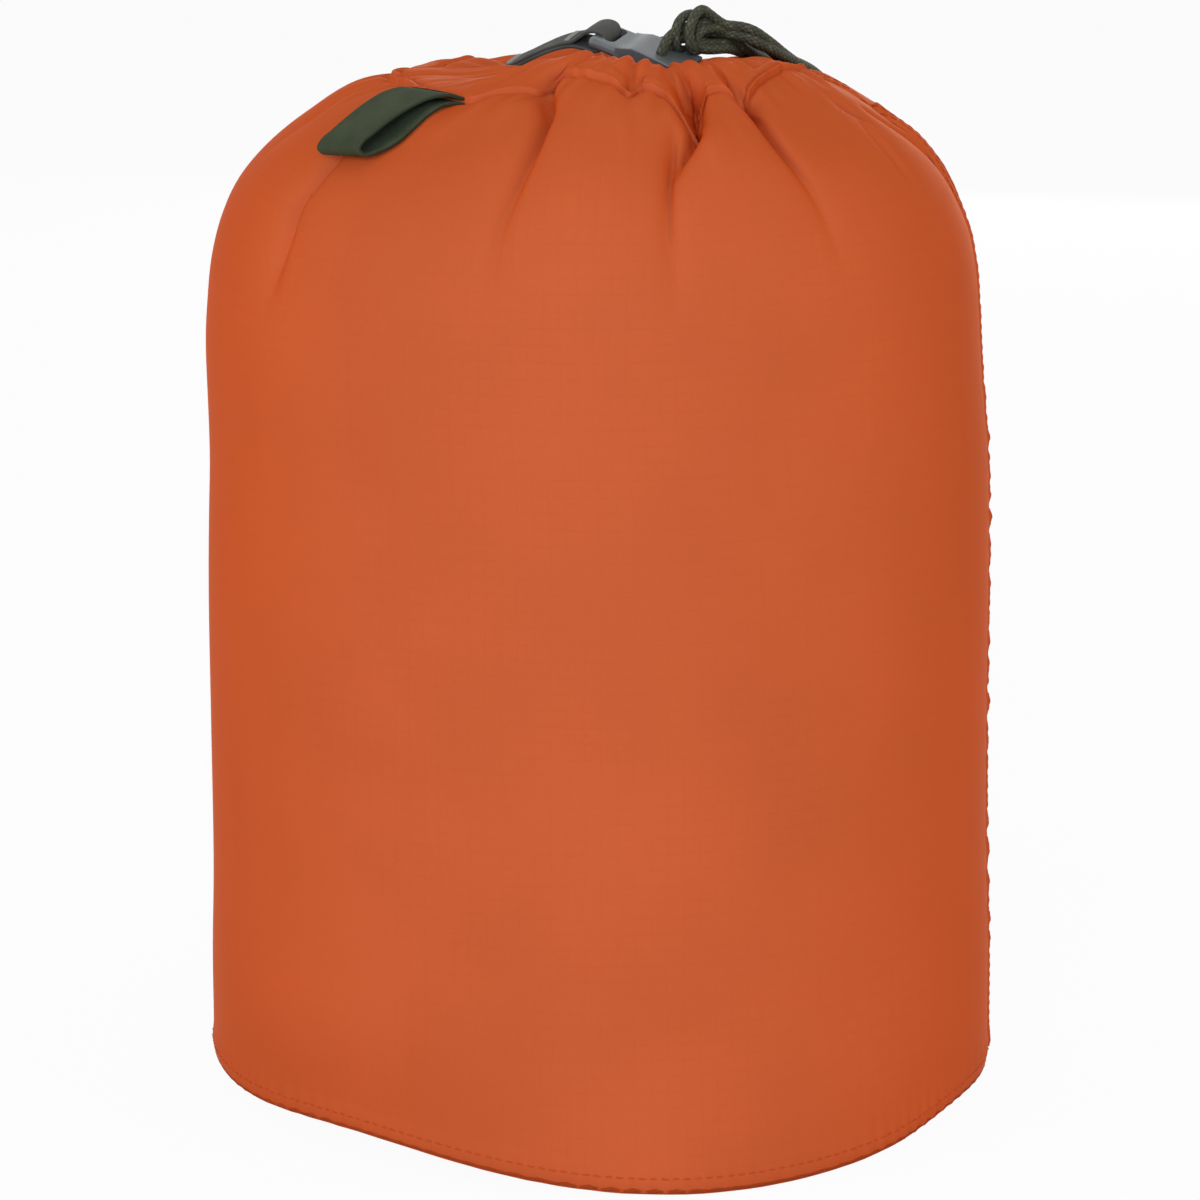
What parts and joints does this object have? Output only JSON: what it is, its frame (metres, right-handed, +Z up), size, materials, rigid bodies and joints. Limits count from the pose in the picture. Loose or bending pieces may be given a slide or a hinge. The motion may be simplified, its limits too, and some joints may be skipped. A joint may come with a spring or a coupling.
{
  "type": "drawstring stuff sack",
  "caption": "Cylindrical drawstring stuff sack standing on its round base, with a gathered neck, tethered cord lock, knotted drawcord and webbing grab loop.",
  "frame": {"origin": "centre of the round base, on the surface that the sack stands on", "axes": "+Z up along the sack, +X towards the side seam, -Y towards the front"},
  "size_m": [0.2597, 0.259, 0.3516],
  "materials": {
    "shell_cloth": "satin orange nylon, fine ripstop weave",
    "seam_tape": "orange binding tape",
    "shell_thread": "dark red polyester thread",
    "cord": "braided olive cord with lighter flecks",
    "lock_plastic": "grey moulded acetal, satin",
    "plunger_plastic": "dark grey moulded acetal",
    "spring_steel": "stainless spring wire",
    "tether_webbing": "grey woven tape",
    "tether_thread": "pale thread",
    "loop_webbing": "dark green woven webbing",
    "loop_thread": "dark red polyester thread"
  },
  "bodies": {
    "sack": {"base_panel": "shell_cloth", "wall_panel": "shell_cloth", "gathered_shoulder": "shell_cloth", "drawcord_channel": "shell_cloth", "base_seam_tape": "seam_tape", "side_seam": "shell_cloth", "channel_stitching": "shell_thread", "base_stitching": "shell_thread", "side_stitching": "shell_thread", "channel_cord": "cord", "lead_cord_front": "cord", "lead_cord_rear": "cord", "tether_webbing": "tether_webbing", "tether_bartacks": "tether_thread", "loop_bartack": "loop_thread"},
    "cord_lock": {"cord_lock_body": "lock_plastic", "cord_lock_spring": "spring_steel", "tail_cord_front": "cord", "tail_cord_rear": "cord", "drawcord_knot": "cord", "drawcord_hank": "cord", "drawcord_end": "cord"},
    "lock_plunger": {"cord_lock_plunger": "plunger_plastic"},
    "grab_loop": {"loop_webbing": "loop_webbing"}
  },
  "joints": [
    {"name": "lock_swing", "type": "hinge", "parent": "sack", "child": "cord_lock", "pos_m": [0.001, 0.0008, 0.3403], "axis": [-0.3899, -0.9061, -0.1642], "range_deg": [0, 40]},
    {"name": "plunger_press", "type": "slide", "parent": "cord_lock", "child": "lock_plunger", "axis": [-0.8885, 0.3234, 0.3256], "range_m": [0, 0.004], "stiffness_N_per_m": 800, "springref_m": -0.002, "deforming": ["cord_lock_spring"]},
    {"name": "loop_swing", "type": "hinge", "parent": "sack", "child": "grab_loop", "pos_m": [-0.038, -0.06, 0.3272], "axis": [-0.7708, 0.6366, -0.0249], "range_deg": [0, 90]}
  ]
}
